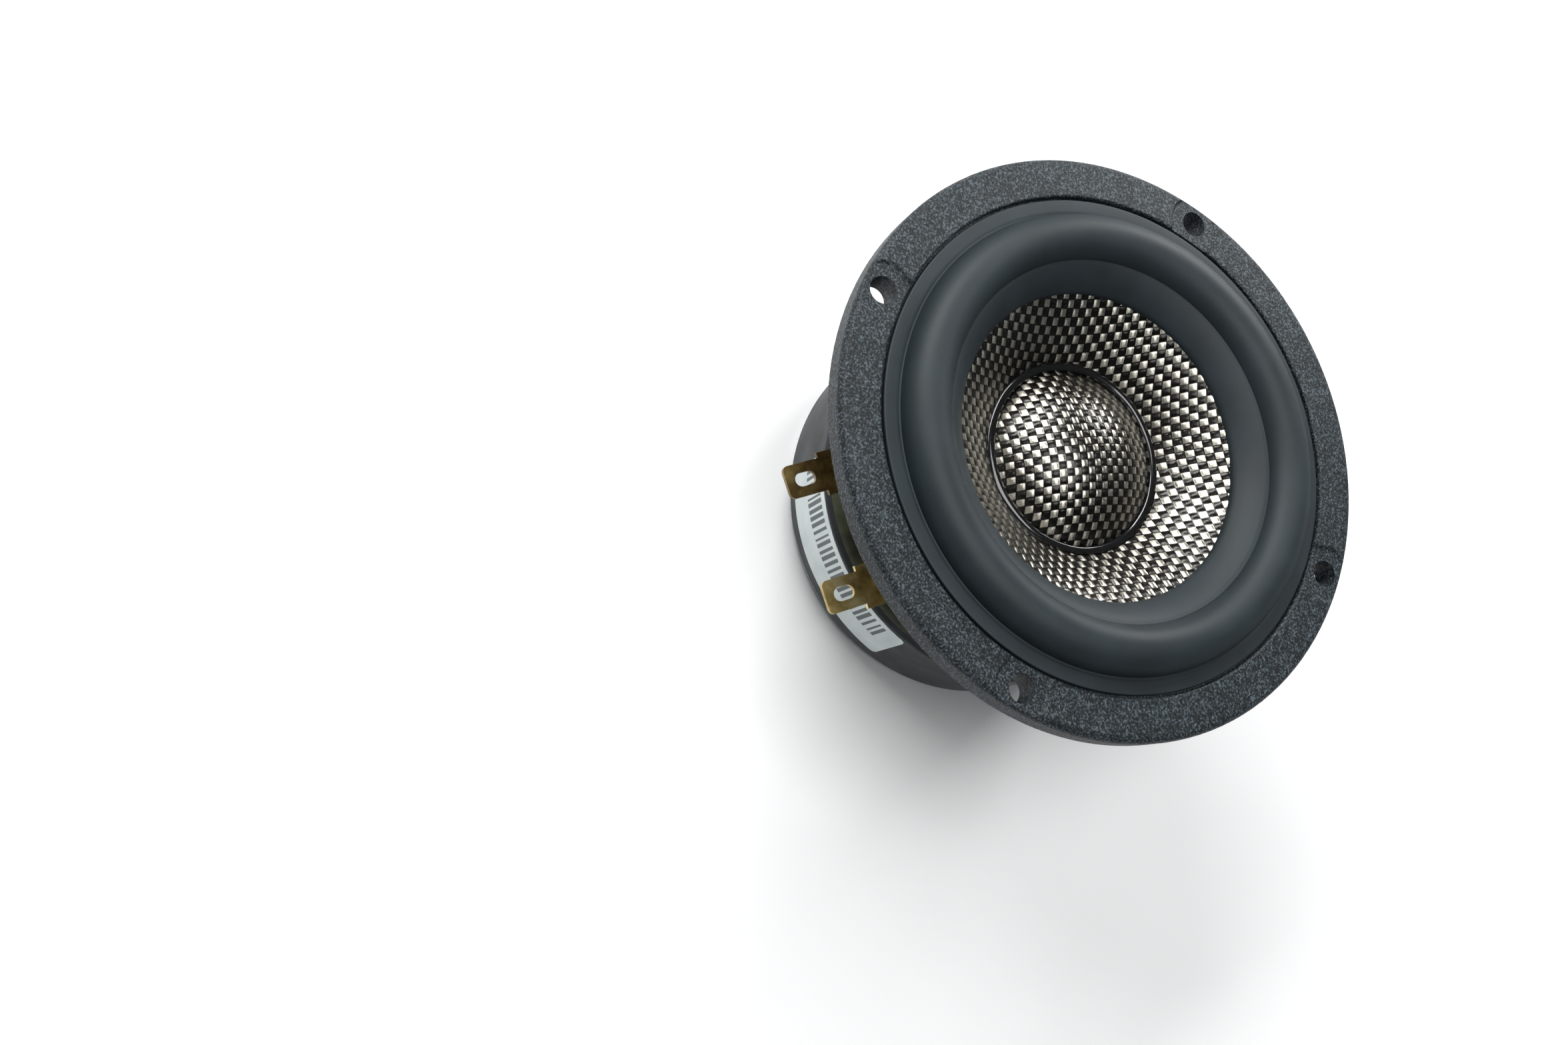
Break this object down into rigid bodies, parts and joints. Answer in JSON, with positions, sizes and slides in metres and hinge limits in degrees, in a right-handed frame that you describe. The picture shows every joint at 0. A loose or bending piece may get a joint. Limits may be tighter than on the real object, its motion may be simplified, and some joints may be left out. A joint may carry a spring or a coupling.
{
  "type": "car speaker driver",
  "caption": "Round car door mid-woofer with woven cone and dome cap, rubber half-roll surround, die-cast windowed basket, ferrite motor and side terminals.",
  "frame": {"origin": "middle of the back plate's underside, where the speaker stands", "axes": "+Z along the speaker's axis, out of the front; +Y towards the terminals; the spare tab is at -Y"},
  "size_m": [0.11, 0.11, 0.0683],
  "materials": {
    "zinc_plated_steel": "satin zinc plate",
    "ferrite": "sintered, matt",
    "amber_adhesive": "dull cured adhesive",
    "black_steel": "black oxide",
    "white_label": "matt film",
    "textured_frame": "fine wrinkle powder coat",
    "surround_rubber": "smooth satin",
    "woven_cone": "woven silver and black, clear coated",
    "woven_cap": "woven silver and black, clear coated",
    "black_adhesive": "glossy",
    "former_film": "satin film",
    "copper_wire": "enamelled",
    "spider_cloth": "resin-treated cloth",
    "board_fibre": "matt",
    "terminal_brass": "aged satin",
    "rivet_brass": "satin",
    "tinsel": "braided",
    "solder": "bright solder"
  },
  "bodies": {
    "frame": {"back_plate": "zinc_plated_steel", "pole_piece": "zinc_plated_steel", "ferrite_magnet": "ferrite", "top_plate": "zinc_plated_steel", "upper_glue_bead": "amber_adhesive", "lower_glue_bead": "amber_adhesive", "plate_screws": "black_steel", "magnet_label": "white_label", "basket": "textured_frame", "surround": "surround_rubber", "spider": "spider_cloth", "terminal_board": "board_fibre", "terminal_positive": "terminal_brass", "terminal_negative": "terminal_brass", "terminal_rivets": "rivet_brass", "board_rivet": "black_steel", "lead_positive": "tinsel", "lead_negative": "tinsel", "lead_solder": "solder"},
    "cone_assembly": {"cone": "woven_cone", "dust_cap": "woven_cap", "dust_cap_glue": "black_adhesive", "voice_coil_former": "former_film", "voice_coil_winding": "copper_wire", "neck_glue": "black_adhesive", "lead_anchors": "black_adhesive"}
  },
  "joints": [
    {"name": "cone_travel", "type": "slide", "parent": "frame", "child": "cone_assembly", "axis": [0, 0, 1], "range_m": [-0.004, 0.004], "stiffness_N_per_m": 1300, "deforming": ["surround", "spider", "lead_positive", "lead_negative"]}
  ]
}
